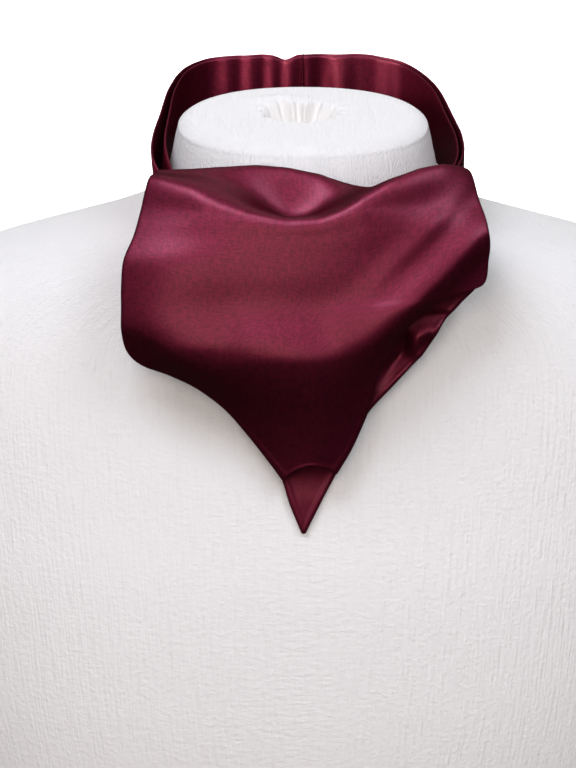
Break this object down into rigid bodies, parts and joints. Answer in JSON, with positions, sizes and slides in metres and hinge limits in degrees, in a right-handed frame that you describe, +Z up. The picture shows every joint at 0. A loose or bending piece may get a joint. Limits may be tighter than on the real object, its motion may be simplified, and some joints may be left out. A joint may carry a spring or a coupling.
{
  "type": "silk cravat on a dress form",
  "caption": "Wide satin cravat tied round the neck of a limbless dress form, its pleated band standing round the neck and its blade puffed over the knot and falling to a point.",
  "frame": {"origin": "middle of the dress form's flat base, straight below the middle of its neck", "axes": "+Z up, the wearer's front faces -Y, +X to the right as seen from the front"},
  "size_m": [0.418, 0.2387, 0.5149],
  "materials": {
    "satin": "burgundy satin, smooth face with a soft sheen",
    "jersey": "white knitted jersey stretched over firm foam, matt"
  },
  "bodies": {
    "root": {"neckband_left": "satin", "neckband_right": "satin", "knot_wrap": "satin", "front_blade": "satin", "under_blade": "satin", "dress_form": "jersey"}
  },
  "joints": []
}
